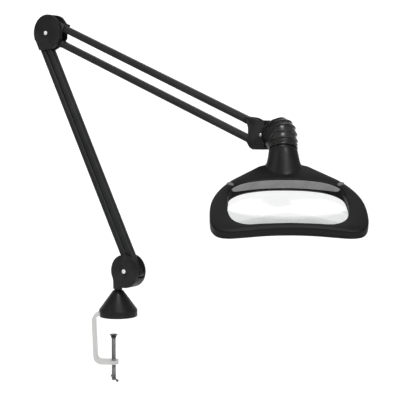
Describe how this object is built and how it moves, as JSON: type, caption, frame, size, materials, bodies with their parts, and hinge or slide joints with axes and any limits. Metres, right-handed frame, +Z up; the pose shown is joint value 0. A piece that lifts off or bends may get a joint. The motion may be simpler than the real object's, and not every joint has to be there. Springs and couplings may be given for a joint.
{
  "type": "magnifying lamp",
  "caption": "Magnifying lamp: wide rounded lens head on a bellows neck, carried by a spring-balanced twin-tube parallelogram arm on a conical base with a C-clamp.",
  "frame": {"origin": "centre of the face of the upper jaw pad that rests on the table, on the arm's vertical swivel axis", "axes": "+Z up along the swivel axis, +X towards the open side of the clamp, -Y towards the front edge of the magnifier at rest"},
  "size_m": [0.4561, 0.3954, 0.5374],
  "materials": {
    "black_paint": "satin",
    "black_plastic": "satin",
    "bright_cap": "gloss",
    "steel": "brushed",
    "lens_glass": "polished",
    "nylon": "satin",
    "led_board": "matte",
    "diffuser": "matte",
    "grey_plastic": "satin",
    "white_paint": "satin",
    "rubber": "matte"
  },
  "bodies": {
    "clamp": {"clamp_frame": "white_paint", "jaw_pad": "rubber", "clamp_nut": "steel", "clamp_socket": "steel", "swivel_bush": "nylon", "base_cone": "black_plastic"},
    "screw_pad": {"clamp_pad": "black_paint"},
    "clamp_screw": {"clamp_screw": "steel"},
    "tommy_bar": {"tommy_bar": "steel"},
    "arm_base": {"swivel_post": "black_paint", "base_bracket": "black_paint", "base_cover_front": "black_plastic", "base_cover_rear": "black_plastic", "base_cap_front": "bright_cap", "base_cap_rear": "black_plastic", "base_pin_main": "steel", "base_pin_link": "steel"},
    "lower_main": {"lower_main_tube": "black_paint", "lower_main_end_a": "black_paint", "lower_main_end_b": "black_paint", "lower_main_spring": "steel"},
    "lower_link": {"lower_link_tube": "black_paint", "lower_link_end_a": "black_paint", "lower_link_end_b": "black_paint"},
    "elbow": {"elbow_bracket": "black_paint", "elbow_cover_front": "black_plastic", "elbow_cover_rear": "black_plastic", "elbow_cap_front": "bright_cap", "elbow_cap_rear": "black_plastic", "elbow_pin_lower_main": "steel", "elbow_pin_lower_link": "steel", "elbow_pin_upper_main": "steel", "elbow_pin_upper_link": "steel"},
    "upper_main": {"upper_main_tube": "black_paint", "upper_main_end_a": "black_paint", "upper_main_end_b": "black_paint", "upper_main_spring": "steel"},
    "upper_link": {"upper_link_tube": "black_paint", "upper_link_end_a": "black_paint", "upper_link_end_b": "black_paint"},
    "wrist": {"wrist_body": "black_plastic", "wrist_pin_main": "black_paint", "wrist_pin_link": "black_paint", "wrist_screw": "steel", "neck_spigot": "steel"},
    "neck_yoke": {"neck_yoke": "steel", "neck_pin": "steel", "neck_boot": "rubber"},
    "neck_stem": {"neck_stem": "steel"},
    "head": {"head_shell": "black_plastic", "head_floor": "black_plastic", "lens": "lens_glass", "stem_bush": "nylon", "light_board_left": "led_board", "light_board_right": "led_board", "diffuser_left": "diffuser", "diffuser_right": "diffuser"},
    "switch_left": {"switch_left": "grey_plastic"},
    "switch_right": {"switch_right": "grey_plastic"}
  },
  "joints": [
    {"name": "pad_feed", "type": "slide", "parent": "clamp", "child": "screw_pad", "axis": [0, 0, 1], "range_m": [-0.031, 0.017]},
    {"name": "screw_spin", "type": "hinge", "parent": "screw_pad", "child": "clamp_screw", "pos_m": [-0.007, 0, 0], "axis": [0, 0, 1], "range_deg": [-11200, 6200]},
    {"name": "tommy_slide", "type": "slide", "parent": "clamp_screw", "child": "tommy_bar", "axis": [0.314, -0.9494, 0], "range_m": [-0.016, 0.006]},
    {"name": "base_swivel", "type": "hinge", "parent": "clamp", "child": "arm_base", "pos_m": [0, 0, 0], "axis": [0, 0, 1], "continuous": true},
    {"name": "lower_lift", "type": "hinge", "parent": "arm_base", "child": "lower_main", "pos_m": [0.01946, -0.01312, 0.0703], "axis": [0.5592, 0.829, 0], "range_deg": [0, 95]},
    {"name": "lower_link_turn", "type": "hinge", "parent": "arm_base", "child": "lower_link", "pos_m": [0.03194, -0.02155, 0.0649], "axis": [0.5592, 0.829, 0], "range_deg": [0, 95]},
    {"name": "elbow_level", "type": "hinge", "parent": "lower_main", "child": "elbow", "pos_m": [-0.1232, 0.0831, 0.41022], "axis": [0.5592, 0.829, 0], "range_deg": [-95, 0]},
    {"name": "upper_lift", "type": "hinge", "parent": "elbow", "child": "upper_main", "pos_m": [-0.09825, 0.06627, 0.42942], "axis": [0.5592, 0.829, 0], "range_deg": [-80, 30]},
    {"name": "upper_link_turn", "type": "hinge", "parent": "elbow", "child": "upper_link", "pos_m": [-0.0922, 0.06219, 0.40218], "axis": [0.5592, 0.829, 0], "range_deg": [-80, 30]},
    {"name": "wrist_level", "type": "hinge", "parent": "upper_main", "child": "wrist", "pos_m": [0.19272, -0.12999, 0.28116], "axis": [0.5592, 0.829, 0], "range_deg": [-30, 80]},
    {"name": "neck_turn", "type": "hinge", "parent": "wrist", "child": "neck_yoke", "pos_m": [0.22878, -0.15432, 0.26597], "axis": [0.829, -0.5592, 0], "range_deg": [-60, 40]},
    {"name": "neck_bend", "type": "hinge", "parent": "neck_yoke", "child": "neck_stem", "pos_m": [0.22878, -0.15432, 0.26597], "axis": [0.5302, 0.7861, -0.3176], "range_deg": [-20, 20], "deforming": ["neck_boot"]},
    {"name": "head_turn", "type": "hinge", "parent": "neck_stem", "child": "head", "pos_m": [0.22878, -0.15432, 0.26597], "axis": [0, -0.3746, -0.9272], "range_deg": [-60, 60]},
    {"name": "switch_left_press", "type": "slide", "parent": "head", "child": "switch_left", "axis": [0, 0.3939, -0.9191], "range_m": [0, 0.0012], "stiffness_N_per_m": 300, "springref_m": -0.001},
    {"name": "switch_right_press", "type": "slide", "parent": "head", "child": "switch_right", "axis": [0, 0.3939, -0.9191], "range_m": [0, 0.0012], "stiffness_N_per_m": 300, "springref_m": -0.001}
  ],
  "couplings": [
    {"joint": "screw_spin", "follows": "pad_feed", "rad_per_m": 6283.2},
    {"joint": "lower_link_turn", "follows": "lower_lift", "ratio": 1},
    {"joint": "elbow_level", "follows": "lower_lift", "ratio": -1},
    {"joint": "upper_link_turn", "follows": "upper_lift", "ratio": 1},
    {"joint": "wrist_level", "follows": "upper_lift", "ratio": -1}
  ]
}
